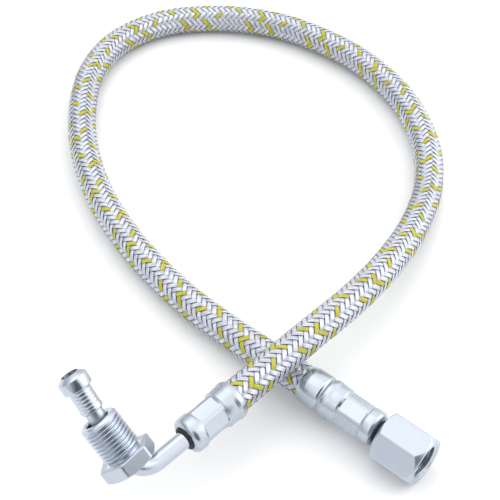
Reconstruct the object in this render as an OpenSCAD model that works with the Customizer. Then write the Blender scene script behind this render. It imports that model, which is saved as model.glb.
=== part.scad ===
// Wire-braided supply hose, lying in one open loop.
// One end is a bent pipe with a captive hollow union screw, the other a swivel nut.
// Millimetres, +Z up; the hose and the nut rest on z = 0.

/* [Hose] */
// Outside diameter of the wire braid
hose_od = 11.8; // [11.6:0.1:11.8]
// Diameter where the textile ply meets the braid
ply_od = 10.3; // [10.1:0.1:10.5]
// Diameter where the rubber liner meets the textile ply
liner_od = 9.1; // [8.9:0.1:9.3]
// Bore of the rubber liner
liner_bore = 6.5; // [6.5:0.1:6.7]

/* [Ferrules] */
// Length of the elbow ferrule
ferrule_len = 22; // [22:0.5:24]
// Extra sleeve on the hose side of the swivel ferrule
sleeve_len = 9; // [8:0.5:10]
// Diameter of the ferrule along its crimp
crimp_od = 12.5; // [12.5:0.1:12.9]
// Distance across two opposite crimp flats
crimp_af = 11.4; // [11.4:0.1:11.8]
// Length of a crimp flat
crimp_len = 9.4; // [9:0.1:9.4]

/* [Elbow pipe] */
// Outside diameter of the pipe
pipe_od = 6; // [5.8:0.1:6]
// Bore of the pipe and of the swivel tail
pipe_bore = 4; // [3:0.25:4]
// Radius of the bend, at the middle of the pipe
bend_r = 9; // [9:0.5:10]
// From the ferrule's mouth to the corner where the axes of the two legs cross
corner_dist = 20.5; // [19:0.5:24]
// From that corner to the face of the nipple
leg_len = 39.8; // [39:0.1:42]
// How far the free leg leans from straight up, about the ferrule's axis
leg_roll = 46; // [30:1:60]

/* [Nipple] */
// Diameter of the nipple's head
head_od = 10; // [9.5:0.1:10.5]
// Diameter of the nipple's body
nipple_od = 7.5; // [7.3:0.1:7.6]
// Length of the whole nipple
nipple_len = 13.6; // [13.2:0.1:13.8]

/* [Union screw] */
// Major diameter of the pipe thread, on the screw and in the nut
thread_od = 13.157; // [13.157]
// Minor diameter of the same thread
thread_id = 11.445; // [11.445]
// Across the flats of the screw's hexagon
screw_af = 17; // [17:1:19]
// Length of the screw
screw_len = 19; // [18:0.5:19]
// Height of the hexagon
screw_hex_h = 4.8; // [4.5:0.1:5.5]
// Bore of the screw
screw_bore = 8.2; // [8.2:0.1:8.6]
// How far the loose screw leans on the pipe, in degrees
screw_lean = 4.8; // [0:0.2:4.8]

/* [Swivel nut] */
// Across the flats of the nut
nut_af = 17; // [17:1:19]
// Length of the nut
nut_len = 17; // [16:0.5:18]
// Diameter of the thrust wire that holds the nut
wire_d = 1.2; // [1:0.1:1.2]

/* [Hidden] */
$fn = 96;
TUBE_SIDES = 12;

// Where each ferrule's hose end is, and the way its axis heads from there
elbow_at = [-7.5, 8.1, 20];
elbow_heading = 225;
swivel_at = [17, 22.2, nut_af / 2];
swivel_heading = -40;

// Route of the free hose: out of the elbow ferrule, over the far end's strand, round the loop and back
ROUTE = [
    elbow_at, [2.5, 18, 20.1], [18, 33.5, 20.1], [36, 52.5, 18.5], [52, 75.5, 14.5], [62, 96, 10],
    [68, 114.5, 7], [70.5, 136, 6], [65.5, 163.5, 5.9], [51.5, 189, 5.9], [31.5, 208, 5.9], [7, 221, 5.9],
    [-19.5, 225, 5.9], [-44, 220.5, 5.9], [-62, 207, 5.9], [-71.5, 187, 5.9], [-73.5, 165, 5.9], [-70, 137.5, 5.9],
    [-61, 111.5, 5.9], [-47, 87, 5.9], [-29, 64, 6.1], [-9, 44.5, 7.1], [6, 31.5, 8.2], swivel_at
];

// Ferrule stations, counted from the groove or hose end where the crimp side begins
grip_from = 4.2;
flats_from = 7.4;
lip_from = 20.6;
lip_r = 4.25;
squeezed_r = 4.15;
squeeze_out = 0.7;
crimped_r = [liner_bore / 2, 4.15, 4.6, 5.2];
free_r = [liner_bore / 2, liner_od / 2, ply_od / 2, hose_od / 2];

// The stems reach this far back towards the hose end of their ferrule
stem_from = 3;
barb_r = pipe_od / 2 + 0.1;

// Stations of the swivel end, counted from its ferrule's hose end
swivel_mouth = ferrule_len + sleeve_len;
flange_from = swivel_mouth + 1.2;
wire_at = swivel_mouth + 4.5;
nut_from = swivel_mouth + 1.9;
wire_ring_r = 5;
land_r = 4.95;
nut_throat_r = 5.05;

// Stations of the screw along the free leg, counted from the corner
screw_from = 4.2;
screw_shift = 0.25;

// ---- frames ----

// The elbow end: +X runs from the hose into the ferrule, +Z is the plane of the bend
module at_elbow() {
    translate(elbow_at) rotate([0, 0, elbow_heading]) rotate([leg_roll, 0, 0]) children();
}

// The free leg of the pipe: +Z runs from the corner to the nipple
module on_leg() {
    at_elbow() translate([ferrule_len + corner_dist, 0, 0]) children();
}

// The swivel end: +X runs from the hose into the ferrule
module at_swivel() {
    translate(swivel_at) rotate([0, 0, swivel_heading]) children();
}

// Turns an outline of [radius, place] points about +X
module turned(outline) {
    rotate([0, 90, 0]) rotate_extrude() polygon(outline);
}

// ---- hose ----

function unit(v) = v / norm(v);
function heading_of(a) = [cos(a), sin(a), 0];
function spot(place, a, x) = place + x * heading_of(a);

// Ring centres: inside the swivel ferrule, along the route, inside the elbow ferrule
function elbow_stations(end) = [for (x = [end, flats_from]) spot(elbow_at, elbow_heading, x)];
function swivel_stations(end) =
    [for (x = [flats_from, end]) spot(swivel_at, swivel_heading, sleeve_len + x)];
function centres(end) = concat(elbow_stations(end), ROUTE, swivel_stations(end));

// Radius of the layer boundary k at ring i: free, or crimped inside a ferrule
function ring_r(k, i, count) = (i < 2 || i > count - 3) ? crimped_r[k] : free_r[k];

function heading_at(c, i) = unit(c[min(i + 1, len(c) - 1)] - c[max(i - 1, 0)]);
function across(t) = unit(cross(t, [0, 0, 1]));
function ring(c, i, r) =
    let (t = heading_at(c, i), s = across(t), u = cross(s, t))
    [for (j = [0:TUBE_SIDES - 1]) let (a = 360 * j / TUBE_SIDES) c[i] + r * (cos(a) * s + sin(a) * u)];

// One wall of rings, cut into triangles the same way on both of its sides
function wall(first, rings, out) = [
    for (i = [0:rings - 2], j = [0:TUBE_SIDES - 1])
        let (k = (j + 1) % TUBE_SIDES, a = first + i * TUBE_SIDES, b = a + TUBE_SIDES)
        for (f = [[a + j, b + k, a + k], [a + j, b + j, b + k]]) out ? f : [f[2], f[1], f[0]]
];

// The flat ring that closes one end between the inner and the outer wall
function cap(inner, outer, out) = [
    for (j = [0:TUBE_SIDES - 1])
        let (k = (j + 1) % TUBE_SIDES)
        for (f = [[outer + j, outer + k, inner + k], [outer + j, inner + k, inner + j]])
            out ? f : [f[2], f[1], f[0]]
];

// A layer of the hose between the layer boundaries k and k + 1
module hose_layer(k, c, inner_r, outer_r) {
    count = len(c);
    size = count * TUBE_SIDES;
    outer = [for (i = [0:count - 1]) each ring(c, i, outer_r[i])];
    inner = [for (i = [0:count - 1]) each ring(c, i, inner_r[i])];
    faces = concat(
        wall(0, count, true), wall(size, count, false),
        cap(size, 0, true), cap(size + size - TUBE_SIDES, size - TUBE_SIDES, false));
    polyhedron(points = concat(outer, inner), faces = faces, convexity = 10);
}

module plain_layer(k) {
    c = centres(lip_from);
    n = len(c);
    hose_layer(k, c, [for (i = [0:n - 1]) ring_r(k, i, n)], [for (i = [0:n - 1]) ring_r(k + 1, i, n)]);
}

module hose_liner() {
    // the rubber is squeezed out of each ferrule's mouth as a lip round the stem
    body = centres(lip_from);
    lip = [spot(elbow_at, elbow_heading, ferrule_len + squeeze_out)];
    far_lip = [spot(swivel_at, swivel_heading, swivel_mouth + squeeze_out)];
    c = concat(lip, body, far_lip);
    n = len(c);
    color("#1b1b1d")
        hose_layer(0, c, [for (i = [0:n - 1]) liner_bore / 2],
            [for (i = [0:n - 1]) (i == 0 || i == n - 1) ? squeezed_r : ring_r(1, i - 1, n - 2)]);
}

module hose_textile_ply() {
    color("#d9d3c2") plain_layer(1);
}

module hose_wire_braid() {
    color("#c3c6d4") plain_layer(2);
}

// ---- ferrules ----

// Outside of a ferrule from the start s of its crimp side to its mouth
function ferrule_front(s) = concat(
    [[6.5, s], [6.9, s + 0.8], [7.05, s + 2.2], [6.75, s + 3.6], [6.7, s + flats_from - 0.4],
        [crimp_od / 2, s + flats_from], [crimp_od / 2, s + flats_from + crimp_len + 0.4],
        [6.5, s + flats_from + crimp_len + 0.9], [6.5, s + ferrule_len - 2]],
    [for (a = [15:15:90]) [4.6 + 1.9 * cos(a), s + ferrule_len - 2 + 2 * sin(a)]]);

// Inside of a ferrule, from the lip at its mouth back to its hose end
function ferrule_back(s) = [
    [lip_r, s + ferrule_len], [lip_r, s + lip_from], [crimped_r[3], s + lip_from],
    [crimped_r[3], s + flats_from], [5.95, s + grip_from], [5.95, 0]
];

module crimp_flats(s, turn) {
    for (k = [0:5])
        rotate([turn + 60 * k, 0, 0])
            translate([s + flats_from + 0.2, -4, crimp_af / 2]) cube([crimp_len, 8, 3]);
}

module elbow_ferrule() {
    color("#dfe3e8") at_elbow() difference() {
        turned(concat([[6.2, 0]], ferrule_front(0), ferrule_back(0)));
        crimp_flats(0, 6 - leg_roll);
    }
}

module swivel_ferrule() {
    sleeve = [[6.15, 0], [6.5, 0.9], [6.8, 2.6], [6.8, sleeve_len - 1], [6.3, sleeve_len - 0.4]];
    color("#dfe3e8") at_swivel() difference() {
        turned(concat(sleeve, ferrule_front(sleeve_len), ferrule_back(sleeve_len)));
        crimp_flats(sleeve_len, 20);
    }
}

// ---- elbow pipe and nipple ----

// A barbed stem of an outer radius r, from x = from to x = to
function barbs(from, to) = [
    for (k = [0:3]) each [[pipe_od / 2, from + 4 * k], [barb_r, from + 4 * k + 3], [pipe_od / 2, from + 4 * k + 3.4]]
];

module bent_rod(r, from, to) {
    straight = ferrule_len + corner_dist - bend_r;
    translate([from, 0, 0]) rotate([0, 90, 0]) cylinder(r = r, h = straight - from);
    translate([straight, 0, bend_r]) rotate([90, 0, 0]) rotate([0, 0, -90]) rotate_extrude(angle = 90)
        translate([bend_r, 0]) circle(r = r);
    translate([straight + bend_r, 0, bend_r]) cylinder(r = r, h = to - bend_r);
}

module elbow_pipe() {
    seat = leg_len - 2.6;
    color("#d5dae2") at_elbow() difference() {
        union() {
            bent_rod(pipe_od / 2, stem_from, seat);
            turned(concat([[0, stem_from]], barbs(stem_from, 17), [[0, stem_from + 15.4]]));
        }
        bent_rod(pipe_bore / 2, stem_from - 1, seat + 1);
    }
}

module nipple() {
    foot = leg_len - nipple_len;
    color("#dde1e7") on_leg() rotate_extrude() polygon([
        [pipe_od / 2, foot], [nipple_od / 2 - 0.1, foot], [nipple_od / 2 + 0.1, foot + 0.5],
        [nipple_od / 2 + 0.1, foot + 1.1], [nipple_od / 2, foot + 1.4], [nipple_od / 2, foot + 8],
        [head_od / 2 - 0.3, foot + 8.1], [head_od / 2, foot + 8.5], [head_od / 2, leg_len - 1.5],
        [2.8, leg_len], [2.6, leg_len], [pipe_bore / 2, leg_len - 1.2], [pipe_bore / 2, leg_len - 2.6],
        [pipe_od / 2, leg_len - 2.6]
    ]);
}

// ---- union screw ----

module chamfered_hex(af, h, low, high) {
    corner = af / 2 / cos(30);
    intersection() {
        cylinder(r = corner, h = h, $fn = 6);
        rotate_extrude() polygon([
            [0, 0], [af / 2 - 0.3, 0], [corner + 0.01, low], [corner + 0.01, h - high], [af / 2 - 0.3, h], [0, h]
        ]);
    }
}

module on_screw() {
    on_leg() translate([0, 0, screw_from + screw_len / 2]) rotate([0, screw_lean, 0])
        translate([-screw_shift, 0, -screw_len / 2]) children();
}

module union_screw() {
    r = screw_bore / 2;
    color("#d9dee6") on_screw() difference() {
        union() {
            rotate([0, 0, 54]) chamfered_hex(screw_af, screw_hex_h, 0.9, 0.01);
            rotate_extrude() polygon([
                [0, 1], [5.7, 1], [5.7, screw_hex_h + 1], [thread_od / 2, screw_hex_h + 1.9],
                [thread_od / 2, screw_len - 0.9], [5.6, screw_len], [0, screw_len]
            ]);
        }
        translate([0, 0, -1]) cylinder(r = r, h = screw_len + 2);
        translate([0, 0, -0.01]) cylinder(r1 = r + 0.5, r2 = r, h = 0.5);
        translate([0, 0, screw_len - 0.49]) cylinder(r1 = r, r2 = r + 0.5, h = 0.5);
    }
}

// ---- swivel end ----

module swivel_tail() {
    back = flange_from + 2.1;
    front = wire_at + 0.8;
    nose = front + 0.8;
    color("#ccd1da") at_swivel() turned(concat(
        [[pipe_bore / 2, stem_from]], barbs(stem_from, 20),
        [[pipe_od / 2, flange_from], [land_r, flange_from], [land_r, back], [4.25, back], [4.25, front],
            [land_r, front], [land_r, nose], [3.2, nose + 1.75 / tan(30)], [pipe_bore / 2 + 0.6, nose + 1.75 / tan(30)],
            [pipe_bore / 2, nose + 2]]));
}

module thrust_wire() {
    color("#8f949c") at_swivel() translate([wire_at, 0, 0]) rotate([0, 90, 0]) rotate_extrude(angle = 335)
        translate([wire_ring_r, 0]) circle(d = wire_d, $fn = 32);
}

module swivel_nut() {
    groove = wire_at - nut_from;
    color("#d9dee6") at_swivel() translate([nut_from, 0, 0]) difference() {
        rotate([0, 90, 0]) rotate([0, 0, 30]) chamfered_hex(nut_af, nut_len, 1.3, 2.2);
        turned([
            [0, -1], [nut_throat_r, -1], [nut_throat_r, groove - 0.7], [5.75, groove - 0.7], [5.75, groove + 0.7],
            [nut_throat_r, groove + 0.7], [nut_throat_r, 4.6], [6.3, 5.2], [6.3, 7.2], [thread_id / 2, 7.8],
            [thread_id / 2, nut_len - 0.9], [6.62, nut_len], [6.62, nut_len + 1], [0, nut_len + 1]
        ]);
    }
}

hose_liner();
hose_textile_ply();
hose_wire_braid();
elbow_ferrule();
elbow_pipe();
nipple();
union_screw();
swivel_ferrule();
swivel_tail();
thrust_wire();
swivel_nut();
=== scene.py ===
import math

import bmesh
import bpy
from mathutils import Matrix, Vector
from mathutils.geometry import interpolate_bezier


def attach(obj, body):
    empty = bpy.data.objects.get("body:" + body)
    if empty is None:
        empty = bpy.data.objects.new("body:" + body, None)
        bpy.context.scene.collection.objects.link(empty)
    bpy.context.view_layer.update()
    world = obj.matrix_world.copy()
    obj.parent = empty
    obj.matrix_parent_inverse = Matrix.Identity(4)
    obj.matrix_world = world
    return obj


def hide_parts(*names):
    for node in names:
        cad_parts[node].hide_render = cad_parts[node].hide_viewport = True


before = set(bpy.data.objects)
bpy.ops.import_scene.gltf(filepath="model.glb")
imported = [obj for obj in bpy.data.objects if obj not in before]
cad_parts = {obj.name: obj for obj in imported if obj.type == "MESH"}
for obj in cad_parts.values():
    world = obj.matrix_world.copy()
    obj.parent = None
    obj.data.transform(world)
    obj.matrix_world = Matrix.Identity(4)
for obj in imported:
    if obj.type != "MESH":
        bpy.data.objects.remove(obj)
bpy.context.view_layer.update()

MM = 0.001
ROOT_BODY = "hose_and_stems"

# ---------------------------------------------------------------- camera

camera_data = bpy.data.cameras.new("camera")
camera_data.sensor_width = 36.0
camera_data.lens = 84.96
camera = bpy.data.objects.new("camera", camera_data)
camera.location = (-0.0023, -0.20927, 0.34635)
camera.rotation_euler = (math.radians(40.8), 0.0, 0.0)
bpy.context.scene.collection.objects.link(camera)
bpy.context.scene.camera = camera

# ---------------------------------------------------------------- small helpers


def axis_of(degrees):
    return Vector((math.cos(math.radians(degrees)), math.sin(math.radians(degrees)), 0.0))


def turn(degrees, axis):
    return Matrix.Rotation(math.radians(degrees), 4, axis)


def ramp(low, high, value):
    """0 up to low, 1 from high on, and smooth between."""
    t = min(max((value - low) / (high - low), 0.0), 1.0)
    return t * t * (3.0 - 2.0 * t)


# ---------------------------------------------------------------- finishes


class Finish:
    """A material, with short ways to add and join its nodes."""

    def __init__(self, name, metallic=0.0, roughness=0.5, specular=0.5):
        self.material = bpy.data.materials.new(name)
        self.material.use_nodes = True
        self.nodes = self.material.node_tree.nodes
        self.links = self.material.node_tree.links
        self.shader = self.nodes["Principled BSDF"]
        self.shader.inputs["Metallic"].default_value = metallic
        self.shader.inputs["Roughness"].default_value = roughness
        self.shader.inputs["Specular IOR Level"].default_value = specular

    def node(self, kind, **settings):
        made = self.nodes.new(kind)
        for key, value in settings.items():
            setattr(made, key, value)
        return made

    def put(self, target, source):
        if isinstance(source, bpy.types.NodeSocket):
            self.links.new(source, target)
        else:
            target.default_value = source

    def math(self, operation, first, second=0.0):
        made = self.node("ShaderNodeMath", operation=operation)
        self.put(made.inputs[0], first)
        self.put(made.inputs[1], second)
        return made.outputs[0]

    def noise(self, where, scale, detail=2.0, roughness=0.5):
        made = self.node("ShaderNodeTexNoise")
        self.put(made.inputs["Vector"], where)
        made.inputs["Scale"].default_value = scale
        made.inputs["Detail"].default_value = detail
        made.inputs["Roughness"].default_value = roughness
        return made.outputs["Fac"]

    def ramp(self, amount, *stops):
        made = self.node("ShaderNodeValToRGB")
        self.put(made.inputs["Fac"], amount)
        elements = made.color_ramp.elements
        while len(elements) < len(stops):
            elements.new(0.5)
        for element, (place, colour) in zip(elements, stops):
            element.position = place
            element.color = (*colour, 1.0)
        return made.outputs["Color"]

    def between(self, amount, low, high):
        made = self.node("ShaderNodeMapRange")
        self.put(made.inputs["Value"], amount)
        made.inputs["To Min"].default_value = low
        made.inputs["To Max"].default_value = high
        return made.outputs["Result"]

    def bump(self, height, distance, strength=1.0, under=None):
        made = self.node("ShaderNodeBump")
        self.put(made.inputs["Height"], height)
        made.inputs["Distance"].default_value = distance
        made.inputs["Strength"].default_value = strength
        if under is not None:
            self.put(made.inputs["Normal"], under)
        return made.outputs["Normal"]

    def object_place(self):
        return self.node("ShaderNodeTexCoord").outputs["Object"]

    def blank_place(self):
        return self.node("ShaderNodeAttribute", attribute_name="blank").outputs["Vector"]

    def split(self, vector):
        made = self.node("ShaderNodeSeparateXYZ")
        self.put(made.inputs[0], vector)
        return made.outputs

    def join(self, x, y, z):
        made = self.node("ShaderNodeCombineXYZ")
        for target, source in zip(made.inputs, (x, y, z)):
            self.put(target, source)
        return made.outputs[0]

    def colour(self, source):
        self.put(self.shader.inputs["Base Color"], source)

    def set(self, name, source):
        self.put(self.shader.inputs[name], source)


def wire_strand_finish(name, edge, dark, pale, metallic, roughness, wires):
    """Side by side wires along a strand; its UV runs along (in mm) and across (0 to 1). Its colour holds
    painted shade: each wire is darker on its sides than on its crown, and the strand's edges fade to the edge
    colour for the shade in the gaps between strands.
    """
    f = Finish(name, metallic=metallic, roughness=roughness)
    along, across, _ = f.split(f.node("ShaderNodeTexCoord").outputs["UV"])
    count = f.math("MULTIPLY", across, float(wires))
    lane = f.math("FLOOR", count)
    inside = f.math("SUBTRACT", f.math("FRACT", count), 0.5)
    hollow = f.math("MULTIPLY", f.math("MULTIPLY", inside, inside), 4.0)
    crown = f.math("SUBTRACT", 1.0, hollow)
    streak = f.noise(f.join(f.math("MULTIPLY", along, 0.35), f.math("MULTIPLY", lane, 7.3), 0.0), 1.0, 3.0)
    # Painted shade and highlight: each wire is lighter on its crown and darker on its sides; streak is the
    # wires' own random tone.
    streak_and_painted_shade = f.math("MULTIPLY", f.math("ADD", f.math("MULTIPLY", crown, 0.65), 0.35), streak)
    # Painted shade: both edges of the strand fade to the edge colour, a dark line standing for the shade in
    # the gaps between strands.
    painted_gap_shade_mask = f.math("MULTIPLY", f.math("MINIMUM", across, f.math("SUBTRACT", 1.0, across)), 7.0)
    streak_and_painted_shade = f.math("MULTIPLY", streak_and_painted_shade, f.math("MINIMUM", painted_gap_shade_mask, 1.0))
    f.colour(f.ramp(f.math("MULTIPLY", streak_and_painted_shade, 1.7), (0.0, edge), (0.3, dark), (0.85, pale)))
    f.set("Roughness", f.between(streak, roughness - 0.08, roughness + 0.12))
    f.set("Normal", f.bump(crown, 0.00009, 0.8))
    return f


# Dark colour: painted shade inside bores, and the darkest end of the random tone.
BORE_SHADE_AND_DARK_TONE = (0.16, 0.18, 0.21)
MILLED_FROM = 7.2


def plated_finish(name, colour, roughness, marks, shaded_bore_r=0.0):
    """Bright zinc plate over turned, pressed or drawn steel. Inside the given bore radius, in mm, the colour
    is painted dark, as shade in the bore, and outside MILLED_FROM it is a little rougher."""
    f = Finish(name, metallic=1.0, roughness=roughness)
    place = f.blank_place()
    x, y, z = f.split(place)
    radius = f.math("SQRT", f.math("ADD", f.math("MULTIPLY", y, y), f.math("MULTIPLY", z, z)))
    rings = f.noise(f.join(x, radius, 0.0), marks, 2.0)
    cloud = f.noise(place, 0.35, 4.0, 0.6)
    speckle = f.noise(place, 9.0, 2.0)
    tone = f.math("ADD", f.math("MULTIPLY", cloud, 0.7), f.math("MULTIPLY", rings, 0.3))
    # Painted shade: inside the bore radius the tone drops to the dark bore colour.
    tone = f.math("MULTIPLY", tone, f.math("GREATER_THAN", radius, shaded_bore_r))
    shaded = tuple(c * 0.92 for c in colour)
    f.colour(f.ramp(tone, (0.0, BORE_SHADE_AND_DARK_TONE), (0.2, shaded), (0.62, colour)))
    milled = f.math("MULTIPLY", f.math("GREATER_THAN", radius, MILLED_FROM), 0.16)
    mottle = f.math("ADD", cloud, f.math("MULTIPLY", speckle, 0.4))
    f.set("Roughness", f.math("ADD", milled, f.between(mottle, roughness - 0.07, roughness + 0.1)))
    f.set("Normal", f.bump(speckle, 0.00001, 0.35, f.bump(rings, 0.00002, 0.35)))
    return f


# The edge colours are painted shade in the gaps between strands; the dark colours are painted shade on the
# wires' sides.
silver_wire = wire_strand_finish(
    "bright_braid_wire", edge=(0.02, 0.02, 0.05), dark=(0.36, 0.38, 0.46), pale=(0.82, 0.85, 0.93),
    metallic=0.75, roughness=0.30, wires=6)
tracer_yarn = wire_strand_finish(
    "olive_yellow_tracer", edge=(0.10, 0.09, 0.01), dark=(0.34, 0.32, 0.02), pale=(0.62, 0.60, 0.08),
    metallic=0.0, roughness=0.55, wires=5)
zinc_turned = plated_finish("zinc_plate_turned", (0.53, 0.58, 0.65), roughness=0.18, marks=6.0, shaded_bore_r=2.92)
zinc_pressed = plated_finish("zinc_plate_pressed", (0.50, 0.55, 0.61), roughness=0.22, marks=1.5)
zinc_drawn = plated_finish("zinc_plate_drawn", (0.51, 0.56, 0.63), roughness=0.15, marks=2.0)

rubber = Finish("black_liner_rubber", roughness=0.62)
rubber_grain = rubber.noise(rubber.object_place(), 900.0)
rubber.colour(rubber.ramp(rubber_grain, (0.3, (0.008, 0.008, 0.009)), (0.8, (0.03, 0.03, 0.033))))
rubber.set("Normal", rubber.bump(rubber.noise(rubber.object_place(), 2500.0), 0.00003, 0.5))

spring_wire = Finish("drawn_spring_wire", metallic=1.0, roughness=0.35)
wire_grain = spring_wire.noise(spring_wire.object_place(), 1200.0)
spring_wire.colour(spring_wire.ramp(wire_grain, (0.3, (0.36, 0.37, 0.39)), (0.7, (0.56, 0.57, 0.6))))

# ---------------------------------------------------------------- hose route

ELBOW_AT = Vector((-7.5, 8.1, 20.0))
ELBOW_HEADING = 225.0
SWIVEL_AT = Vector((17.0, 22.2, 8.5))
SWIVEL_HEADING = -40.0
ROUTE = [Vector(p) * MM for p in (
    ELBOW_AT, (2.5, 18, 20.1), (18, 33.5, 20.1), (36, 52.5, 18.5), (52, 75.5, 14.5), (62, 96, 10),
    (68, 114.5, 7), (70.5, 136, 6), (65.5, 163.5, 5.9), (51.5, 189, 5.9), (31.5, 208, 5.9), (7, 221, 5.9),
    (-19.5, 225, 5.9), (-44, 220.5, 5.9), (-62, 207, 5.9), (-71.5, 187, 5.9), (-73.5, 165, 5.9),
    (-70, 137.5, 5.9), (-61, 111.5, 5.9), (-47, 87, 5.9), (-29, 64, 6.1), (-9, 44.5, 7.1),
    (6, 31.5, 8.2), SWIVEL_AT)]

HOSE_R = 5.9
CORE_R = 5.15
TUCK = 3.0


def slopes(points):
    """The direction of the hose at each route point; at both ends it runs straight out of the ferrule."""
    made = [-axis_of(ELBOW_HEADING)]
    for before, here, after in zip(points, points[1:], points[2:]):
        near, far = (here - before).length, (after - here).length
        made.append(((here - before) * (far / near) + (after - here) * (near / far)).normalized())
    return made + [axis_of(SWIVEL_HEADING)]


def handles(points):
    """Each stretch of the route as a Bezier curve: start, its handle, the end's handle, end."""
    for (a, b), (s, t) in zip(zip(points, points[1:]), zip(slopes(points), slopes(points)[1:])):
        reach = (b - a).length / 3.0
        yield a, a + s * reach, b - t * reach, b


class HoseLine:
    """The smooth centre line, with a level frame at every half millimetre along it."""

    STEP = 0.5 * MM

    def __init__(self, points):
        line = []
        for knot in handles(points):
            line += interpolate_bezier(*knot, 60)[:-1]
        line.append(points[-1])
        run = [0.0]
        for a, b in zip(line, line[1:]):
            run.append(run[-1] + (b - a).length)
        self.length = run[-1]
        self.margin = 8.0 * MM
        self.spots = []
        k = 0
        count = int((self.length + 2.0 * self.margin) / self.STEP) + 2
        for i in range(count):
            s = i * self.STEP - self.margin
            if s < 0.0:
                p, t = points[0] + axis_of(ELBOW_HEADING) * -s, -axis_of(ELBOW_HEADING)
            elif s >= self.length:
                p, t = points[-1] + axis_of(SWIVEL_HEADING) * (s - self.length), axis_of(SWIVEL_HEADING)
            else:
                while run[k + 1] < s:
                    k += 1
                p = line[k].lerp(line[k + 1], (s - run[k]) / (run[k + 1] - run[k]))
                t = (line[k + 1] - line[k]).normalized()
            side = t.cross(Vector((0.0, 0.0, 1.0))).normalized()
            self.spots.append((p, side, side.cross(t)))

    def on_surface(self, s, angle, radius):
        place = (s + self.margin) / self.STEP
        i = min(max(int(place), 0), len(self.spots) - 2)
        w = place - i
        p, side, up = (a.lerp(b, w) for a, b in zip(self.spots[i], self.spots[i + 1]))
        return p + radius * (math.cos(angle) * side + math.sin(angle) * up)


hose_line = HoseLine(ROUTE)

# ---------------------------------------------------------------- hose core, the cord itself

core_curve = bpy.data.curves.new("hose_core", "CURVE")
core_curve.dimensions = "3D"
core_curve.bevel_depth = CORE_R * MM
core_curve.bevel_resolution = 6
core_curve.resolution_u = 10
core_curve.use_fill_caps = True
spline = core_curve.splines.new("BEZIER")
spline.bezier_points.add(len(ROUTE) - 1)
arms = list(handles(ROUTE))
for i, knot in enumerate(spline.bezier_points):
    knot.co = ROUTE[i]
    knot.handle_left = arms[i - 1][2] if i else ROUTE[0] + axis_of(ELBOW_HEADING) * 4.0 * MM
    knot.handle_right = arms[i][1] if i < len(arms) else ROUTE[-1] + axis_of(SWIVEL_HEADING) * 4.0 * MM
hose_core = bpy.data.objects.new("hose_core", core_curve)
bpy.context.scene.collection.objects.link(hose_core)
core_curve.materials.append(rubber.material)

# ---------------------------------------------------------------- wire braid

CARRIERS = 12
LAY = 31.2
ROW = LAY / CARRIERS
HALF_STRAND = 0.44
TOP_OVER = HOSE_R - 0.03
TOP_UNDER = HOSE_R - 0.44
STRAND_THICK = 0.26
CROWN = 0.10
TRACERS = (0, 4)
STEPS_PER_CROSSING = 3


def over_under(phase):
    """Height of a strand, 1 over and 0 under; it passes over two and under two."""
    wave = math.cos(math.pi * phase / 2.0)
    return 0.5 + 0.5 * math.tanh(2.6 * wave) / math.tanh(2.6)


def lay_strand(bm, right_hand, number):
    """Lays one flat grid as a strand of the braid, from inside one ferrule to inside the other."""
    first = -TUCK * 2.0 / ROW - number
    last = (hose_line.length / MM + TUCK) * 2.0 / ROW - number
    steps = int((last - first) * STEPS_PER_CROSSING)
    made = bmesh.ops.create_grid(bm, x_segments=steps, y_segments=4, size=1.0, calc_uvs=True)["verts"]
    for v in made:
        other = first + (last - first) * (v.co.x + 1.0) / 2.0
        own = number + v.co.y * HALF_STRAND
        i, j = (own, other) if right_hand else (other, own)
        height = over_under(j - number - 0.5) if right_hand else over_under(number - i - 2.5)
        radius = TOP_UNDER + (TOP_OVER - TOP_UNDER) * height - CROWN * v.co.y ** 2
        angle = math.pi * (j - i) / CARRIERS
        v.co = hose_line.on_surface((i + j) * ROW / 2.0 * MM, angle, radius * MM)
    faces = list({face for v in made for face in v.link_faces})
    if right_hand:
        bmesh.ops.reverse_faces(bm, faces=faces)
    bm.normal_update()
    bmesh.ops.solidify(bm, geom=faces, thickness=STRAND_THICK * MM)


def braid_piece(name, strands, finish):
    bm = bmesh.new()
    uv = bm.loops.layers.uv.new("strand")
    for right_hand, number in strands:
        lay_strand(bm, right_hand, number)
    for face in bm.faces:
        for loop in face.loops:
            loop[uv].uv.x *= hose_line.length / MM * 1.4
    bmesh.ops.recalc_face_normals(bm, faces=bm.faces)
    return finish_piece(bm, name, finish, 60.0)


def finish_piece(bm, name, finish, sharp=32.0):
    mesh = bpy.data.meshes.new(name)
    bm.to_mesh(mesh)
    bm.free()
    mesh.shade_smooth()
    if sharp:
        mesh.set_sharp_from_angle(angle=math.radians(sharp))
    mesh.materials.append(finish.material)
    piece = bpy.data.objects.new(name, mesh)
    bpy.context.scene.collection.objects.link(piece)
    return piece


silver = [n for n in range(CARRIERS) if n not in TRACERS]
braid = [
    braid_piece("braid_strands_right_a", [(True, n) for n in silver[:5]], silver_wire),
    braid_piece("braid_strands_right_b", [(True, n) for n in silver[5:]], silver_wire),
    braid_piece("braid_strands_left_a", [(False, n) for n in silver[:5]], silver_wire),
    braid_piece("braid_strands_left_b", [(False, n) for n in silver[5:]], silver_wire),
    braid_piece("braid_tracer_strands", [(hand, n) for hand in (True, False) for n in TRACERS], tracer_yarn)]

# ---------------------------------------------------------------- turned, pressed, milled and threaded pieces

FERRULE = 22.0
FLATS_FROM = 7.4
SLEEVE = 9.0
CRIMP_R = 6.25
COLLAR_R = 6.5

CORNER = FERRULE + 20.5
LEG = 39.8
LEG_ROLL = 46.0
BEND_R = 9.0
PIPE_R = 3.0
PIPE_BORE_R = 2.0
STEM_FROM = 3.0

ACROSS_FLATS = 17.0
HEX_BLANK_R = 9.82
THREAD_PITCH = 1.337
THREAD_CREST_R = 6.5785
NUT_BORE_R = 5.7225
THREAD_RUN_OUT = 0.9
SCREW_LENGTH = 19.0
SCREW_MIDDLE = 13.7
SCREW_LEAN = 4.8
SCREW_SHIFT = -0.25
NUT_LENGTH = 17.0
NUT_FROM = FERRULE + SLEEVE + 1.9

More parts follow.
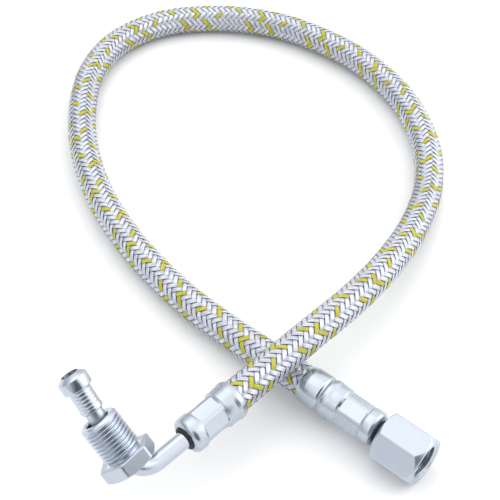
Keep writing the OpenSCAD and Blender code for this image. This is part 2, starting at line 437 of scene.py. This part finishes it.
elbow_frame = Matrix.Translation(ELBOW_AT) @ turn(ELBOW_HEADING, "Z") @ turn(LEG_ROLL, "X")
swivel_frame = Matrix.Translation(SWIVEL_AT) @ turn(SWIVEL_HEADING, "Z")
nut_frame = swivel_frame @ Matrix.Translation((NUT_FROM, 0, 0))
leg_frame = elbow_frame @ Matrix.Translation((CORNER, 0, 0)) @ turn(-90.0, "Y")
screw_frame = (elbow_frame @ Matrix.Translation((CORNER, 0, SCREW_MIDDLE)) @ turn(SCREW_LEAN, "Y")
               @ Matrix.Translation((SCREW_SHIFT, 0, -SCREW_LENGTH / 2.0)) @ turn(-90.0, "Y"))


def turned(outline, steps, rounding, fine=()):
    """A closed outline of (place along X, radius), with eased corners, turned once about X.
    fine holds (from, to, pitch): the stretches that need closer rings."""
    bm = bmesh.new()
    face = bm.faces.new([bm.verts.new((x, 0.0, r)) for x, r in outline])
    bmesh.ops.bevel(bm, geom=bm.verts[:], offset=rounding, offset_type="OFFSET", segments=2,
                    profile=0.5, affect="VERTICES", clamp_overlap=True, material=-1)
    for start, end, pitch in fine:
        for edge in [e for e in bm.edges if all(start - 1e-4 <= v.co.x <= end + 1e-4 for v in e.verts)]:
            cuts = int(edge.calc_length() / pitch)
            if cuts:
                bmesh.ops.subdivide_edges(bm, edges=[edge], cuts=cuts)
    bmesh.ops.delete(bm, geom=bm.faces[:], context="FACES_ONLY")
    bmesh.ops.spin(bm, geom=bm.verts[:] + bm.edges[:], cent=(0, 0, 0), axis=(1, 0, 0), angle=math.tau,
                   steps=steps, use_merge=True, use_duplicate=False)
    bmesh.ops.remove_doubles(bm, verts=bm.verts[:], dist=1e-5)
    bmesh.ops.recalc_face_normals(bm, faces=bm.faces)
    return bm


def reach(v):
    return math.hypot(v.co.y, v.co.z)


def set_reach(v, radius):
    scale = radius / reach(v)
    v.co.y *= scale
    v.co.z *= scale


def press_flats(bm, start, turn_by):
    """Six crimp dies, each a rounded rectangle, leave their flats round the ferrule."""
    half_long, half_wide, corner, depth = 4.75, 2.5, 1.1, 5.7
    middle = start + FLATS_FROM + 0.15 + half_long
    for v in bm.verts:
        r = reach(v)
        if r < 5.4 or abs(v.co.x - middle) > half_long + 0.1:
            continue
        angle = math.degrees(math.atan2(-v.co.y, v.co.z)) - turn_by
        angle -= 60.0 * round(angle / 60.0)
        side, height = r * math.sin(math.radians(angle)), r * math.cos(math.radians(angle))
        dx = abs(v.co.x - middle) - half_long + corner
        dy = abs(side) - half_wide + corner
        inside = corner - math.hypot(max(dx, 0.0), max(dy, 0.0)) - min(max(dx, dy), 0.0)
        sunk = height - (height - depth) * ramp(0.0, 0.32, inside)
        if height > depth:
            set_reach(v, math.hypot(side, sunk))


def mill_hexagon(bm, start, end, turn_by):
    """The outside of a turned blank milled to six flats, with eased corners, between start and end."""
    flat = ACROSS_FLATS / 2.0
    ease = 0.25
    for v in bm.verts:
        if start - 1e-4 <= v.co.x <= end + 1e-4 and reach(v) > flat * 0.93:
            angle = math.degrees(math.atan2(v.co.y, v.co.z)) - turn_by
            angle -= 60.0 * round(angle / 60.0)
            limit = flat / math.cos(math.radians(angle))
            corner = flat / math.cos(math.radians(30.0))
            over = limit - (corner - ease)
            if over > 0.0:
                limit -= over * over / (2.0 * ease)
            if reach(v) > limit:
                set_reach(v, limit)


def cut_thread(bm, start, end, crest, root):
    """A right-hand helical thread between start and end, run out softly at both ends."""
    for v in bm.verts:
        r = reach(v)
        if not (start < v.co.x < end) or abs(r - crest) > 0.2:
            continue
        lead = v.co.x / THREAD_PITCH + math.atan2(v.co.y, v.co.z) / math.tau
        wave = abs(2.0 * (lead - math.floor(lead)) - 1.0)
        run_in = ramp(start, start + THREAD_RUN_OUT, v.co.x)
        run_out = 1.0 - ramp(end - THREAD_RUN_OUT, end, v.co.x)
        depth = ramp(0.08, 0.92, wave) * run_in * run_out
        set_reach(v, r + (root - crest) * depth)


def fitting(bm, name, finish, where, thread=(0.0, 0.0)):
    """Keeps the blank's own places for its finish, and moves the piece into the object's frame.
    Edges over 30 degrees stay crisp, but not those of a thread, which lies between two places along
    the blank."""
    for edge in bm.edges:
        threaded = all(thread[0] < v.co.x < thread[1] and reach(v) < 6.8 for v in edge.verts)
        edge.smooth = threaded or edge.calc_face_angle(0.0) < math.radians(30.0)
    layer = bm.verts.layers.float_vector.new("blank")
    for v in bm.verts:
        v[layer] = v.co.copy()
    bmesh.ops.transform(bm, matrix=Matrix.Scale(MM, 4) @ where, verts=bm.verts)
    return finish_piece(bm, name, finish, None)


def ferrule(sleeve, turn_by):
    """A crimped ferrule from the hose side on; sleeve is the length of its plain part, if it has one."""
    if sleeve:
        hose_side = [(0.0, 6.15), (0.9, 6.5), (2.6, 6.8)]
        hose_side += [(sleeve - 1.0, 6.8), (sleeve - 0.5, 6.3), (sleeve, 6.35)]
    else:
        hose_side = [(0.0, 6.2), (0.0, 6.5)]
    flats = sleeve + FLATS_FROM
    crimp_end = flats + 9.8
    collar_end = sleeve + 20.0
    end = sleeve + FERRULE
    shell = [(sleeve + 0.8, 6.9), (sleeve + 2.2, 7.05), (sleeve + 3.6, 6.75), (flats - 0.4, 6.7),
             (flats, CRIMP_R), (crimp_end, CRIMP_R), (crimp_end + 0.4, COLLAR_R), (collar_end, COLLAR_R)]
    slants = [math.radians(d) for d in range(15, 91, 15)]
    dome = [(collar_end + 2.0 * math.sin(a), 4.6 + 1.9 * math.cos(a)) for a in slants]
    inside = [(end, 4.25), (sleeve + 20.6, 4.25), (sleeve + 20.6, 5.2), (flats, 5.2),
              (sleeve + 4.2, 5.95), (0.0, 5.95)]
    bm = turned(hose_side + shell + dome + inside, 216, 0.1, [(flats - 0.7, crimp_end + 0.7, 0.16)])
    press_flats(bm, sleeve, turn_by)
    return bm


elbow_ferrule = fitting(ferrule(0.0, 6.0 - LEG_ROLL), "elbow_ferrule_shell", zinc_pressed, elbow_frame)
swivel_ferrule = fitting(ferrule(SLEEVE, 20.0), "swivel_ferrule_shell", zinc_pressed, swivel_frame)


def verts_in(geometry):
    return [g for g in geometry if isinstance(g, bmesh.types.BMVert)]


def edges_in(geometry):
    return [g for g in geometry if isinstance(g, bmesh.types.BMEdge)]


def bent_pipe():
    """Outer and inner wall swept from the stem, round the bend and up to the nipple."""
    bm = bmesh.new()
    straight = CORNER - BEND_R
    top = LEG - 2.6
    foot = Matrix.Translation((STEM_FROM, 0, 0)) @ turn(90.0, "Y")
    ends = []
    for radius in (PIPE_R, PIPE_BORE_R):
        ring = bmesh.ops.create_circle(bm, segments=64, radius=radius, matrix=foot)["verts"]
        edges = list({e for v in ring for e in v.link_edges})
        ends.append(edges)
        grown = bmesh.ops.extrude_edge_only(bm, edges=edges)["geom"]
        bmesh.ops.translate(bm, vec=(straight - STEM_FROM, 0, 0), verts=verts_in(grown))
        edges = [e for e in edges_in(grown) if all(abs(v.co.x - straight) < 1e-4 for v in e.verts)]
        spun = bmesh.ops.spin(bm, geom=edges, cent=(straight, 0, BEND_R), axis=(0, -1, 0),
                              angle=math.pi / 2, steps=32)["geom_last"]
        grown = bmesh.ops.extrude_edge_only(bm, edges=edges_in(spun))["geom"]
        verts = verts_in(grown)
        bmesh.ops.translate(bm, vec=(0, 0, top - BEND_R), verts=verts)
        ends.append([e for e in edges_in(grown) if all(v in verts for v in e.verts)])
    bmesh.ops.bridge_loops(bm, edges=ends[0] + ends[2])
    bmesh.ops.bridge_loops(bm, edges=ends[1] + ends[3])
    bmesh.ops.recalc_face_normals(bm, faces=bm.faces)
    return bm


elbow_pipe = fitting(bent_pipe(), "elbow_pipe_tube", zinc_drawn, elbow_frame)


def nipple_blank():
    """The collar on the pipe's tip: five fine grooves, then the head."""
    foot = LEG - 13.6
    face = LEG
    outline = [(foot, 3.02), (foot, 3.65), (foot + 0.4, 3.85), (foot + 1.1, 3.85), (foot + 1.4, 3.75)]
    for k in range(5):
        groove = foot + 2.1 + 1.25 * k
        outline += [(groove, 3.75), (groove + 0.15, 3.66), (groove + 0.35, 3.66), (groove + 0.5, 3.75)]
    outline += [(foot + 8.0, 3.75), (foot + 8.1, 4.7), (foot + 8.5, 5.0), (face - 1.5, 5.0)]
    outline += [(face, 3.0), (face, 2.85), (face - 2.4, 2.8), (face - 2.4, 2.0)]
    outline += [(face - 2.6, 2.0), (face - 2.6, 3.02)]
    return turned(outline, 120, 0.07)


nipple = fitting(nipple_blank(), "nipple_collar", zinc_turned, leg_frame)


def screw_blank():
    tip = SCREW_LENGTH
    outline = [(0.5, 4.1), (0.0, 4.6), (0.0, 8.2), (0.9, HEX_BLANK_R), (4.79, HEX_BLANK_R)]
    outline += [(4.8, 5.75), (5.9, 5.75), (6.7, THREAD_CREST_R), (18.1, THREAD_CREST_R)]
    outline += [(tip, 5.6), (tip, 4.6), (18.5, 4.1)]
    bm = turned(outline, 144, 0.08, [(6.5, 18.3, 0.09), (0.0, 1.2, 0.15)])
    mill_hexagon(bm, 0.0, 4.82, 36.0)
    cut_thread(bm, 6.7, 18.4, THREAD_CREST_R, 5.74)
    return bm


union_screw = fitting(screw_blank(), "union_screw_threaded", zinc_turned, screw_frame, (6.3, 18.6))


def nut_blank():
    mouth = NUT_LENGTH
    outline = [(0.0, 5.05), (0.0, 8.2), (1.3, HEX_BLANK_R), (14.8, HEX_BLANK_R), (mouth, 8.2)]
    outline += [(mouth, 7.05), (16.6, 6.62), (16.3, NUT_BORE_R), (7.8, NUT_BORE_R), (7.2, 6.3)]
    outline += [(5.2, 6.3), (4.6, 5.05), (3.3, 5.05), (3.3, 5.75), (1.9, 5.75), (1.9, 5.05)]
    bm = turned(outline, 144, 0.08, [(7.7, 16.32, 0.09), (-0.1, 1.4, 0.15), (14.7, 17.1, 0.15)])
    mill_hexagon(bm, -0.1, 17.1, 0.0)
    cut_thread(bm, 7.8, 16.9, NUT_BORE_R, 6.56)
    return bm


swivel_nut = fitting(nut_blank(), "swivel_nut_hexagon", zinc_turned, nut_frame, (7.4, 16.8))


def tail_blank():
    """The swivel stem: a flange, a groove for the thrust wire and the coned nose."""
    flange = FERRULE + SLEEVE + 1.2
    back, front, nose, tip = flange + 2.1, flange + 4.1, flange + 4.9, flange + 7.93
    outline = [(STEM_FROM, 2.0), (STEM_FROM, 3.0), (flange, 3.0), (flange, 4.95), (back, 4.95), (back, 4.25)]
    outline += [(front, 4.25), (front, 4.95), (nose, 4.95), (tip, 3.2), (tip, 2.6), (tip - 1.0, 2.0)]
    return turned(outline, 96, 0.08)


swivel_tail = fitting(tail_blank(), "swivel_tail_stem", zinc_turned, swivel_frame)


def rubber_lip(mouth):
    """The ring of liner rubber that is squeezed out at the mouth of a ferrule."""
    outline = [(mouth - 1.3, 3.05), (mouth - 1.3, 4.15), (mouth + 0.25, 4.15), (mouth + 0.6, 3.95)]
    outline += [(mouth + 0.7, 3.5), (mouth + 0.55, 3.05)]
    return turned(outline, 96, 0.1)


elbow_lip = fitting(rubber_lip(FERRULE), "liner_lip_elbow", rubber, elbow_frame)
swivel_lip = fitting(rubber_lip(FERRULE + SLEEVE), "liner_lip_swivel", rubber, swivel_frame)

# ---------------------------------------------------------------- what rides on what

fixed_fittings = [elbow_ferrule, swivel_ferrule, elbow_pipe, nipple, swivel_tail, elbow_lip, swivel_lip]
for piece in [hose_core, *braid, *fixed_fittings]:
    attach(piece, ROOT_BODY)
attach(union_screw, "screw")
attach(swivel_nut, "nut")

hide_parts("hose_liner", "hose_textile_ply")
for piece in braid:
    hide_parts("hose_wire_braid")
for piece, node, slot in (
        (elbow_lip, "hose_liner", "liner_rubber"), (swivel_lip, "hose_liner", "liner_rubber"),
        (elbow_ferrule, "elbow_ferrule", "zinc_ferrule"), (swivel_ferrule, "swivel_ferrule", "zinc_ferrule"),
        (elbow_pipe, "elbow_pipe", "zinc_pipe"), (nipple, "nipple", "zinc_turned"),
        (union_screw, "union_screw", "zinc_turned"), (swivel_nut, "swivel_nut", "zinc_turned"),
        (swivel_tail, "swivel_tail", "zinc_turned")):
    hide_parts(node)

wire_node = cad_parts["thrust_wire"]
wire_node.data.materials.clear()
wire_node.data.materials.append(spring_wire.material)

# ---------------------------------------------------------------- floor and light

floor_finish = Finish("pale_floor", roughness=0.6, specular=0.2)
floor_finish.colour((0.96, 0.96, 0.96, 1.0))
bm = bmesh.new()
bmesh.ops.create_grid(bm, x_segments=2, y_segments=2, size=4.0)
floor = finish_piece(bm, "floor", floor_finish)


def soft_light(name, where, aim, size, power):
    data = bpy.data.lights.new(name, "AREA")
    data.shape = "RECTANGLE"
    data.size, data.size_y = size
    data.energy = power
    lamp = bpy.data.objects.new(name, data)
    lamp.location = where
    lamp.rotation_euler = (Vector(aim) - Vector(where)).to_track_quat("-Z", "Y").to_euler()
    bpy.context.scene.collection.objects.link(lamp)


soft_light("overhead_softbox", (-0.35, 0.45, 1.15), (0.0, 0.05, 0.0), (1.2, 0.9), 1.3)
soft_light("right_softbox", (1.0, 0.25, 0.6), (0.0, 0.05, 0.0), (0.8, 0.8), 2.6)
soft_light("front_fill", (-0.6, -0.95, 0.7), (0.0, 0.1, 0.0), (1.4, 1.0), 1.4)

CEILING_LEVEL = 1.7
DARK_SIDE = Vector((0.27, -0.86, 0.43))


def studio_world():
    """A white tent, dimmer towards the horizon, with the dark opening that one looks through."""
    world = bpy.data.worlds.new("studio")
    world.use_nodes = True
    bpy.context.scene.world = world
    nodes, links = world.node_tree.nodes, world.node_tree.links

    def add(kind, **settings):
        made = nodes.new(kind)
        for key, value in settings.items():
            setattr(made, key, value)
        return made

    direction = add("ShaderNodeTexCoord").outputs["Generated"]
    height = add("ShaderNodeVectorMath", operation="DOT_PRODUCT")
    height.inputs[1].default_value = (0.5, 0.0, 1.0)
    tent = add("ShaderNodeValToRGB")
    toward = add("ShaderNodeVectorMath", operation="DOT_PRODUCT")
    toward.inputs[1].default_value = DARK_SIDE.normalized()
    opening = add("ShaderNodeMapRange", interpolation_type="SMOOTHSTEP")
    opening.inputs["From Min"].default_value = math.cos(math.radians(42.0))
    opening.inputs["From Max"].default_value = math.cos(math.radians(28.0))
    both = add("ShaderNodeMix", data_type="RGBA")
    links.new(direction, height.inputs[0])
    links.new(direction, toward.inputs[0])
    links.new(height.outputs["Value"], tent.inputs["Fac"])
    links.new(toward.outputs["Value"], opening.inputs["Value"])
    links.new(opening.outputs["Result"], both.inputs["Factor"])
    links.new(tent.outputs["Color"], both.inputs[6])
    both.inputs[7].default_value = (0.07, 0.075, 0.085, 1.0)
    links.new(both.outputs[2], nodes["Background"].inputs["Color"])
    low, high = tent.color_ramp.elements
    low.position, low.color = 0.0, (0.38, 0.395, 0.415, 1.0)
    high.position, high.color = 0.6, (0.88, 0.88, 0.88, 1.0)
    nodes["Background"].inputs["Strength"].default_value = CEILING_LEVEL


studio_world()
bpy.context.scene.view_settings.view_transform = "Standard"
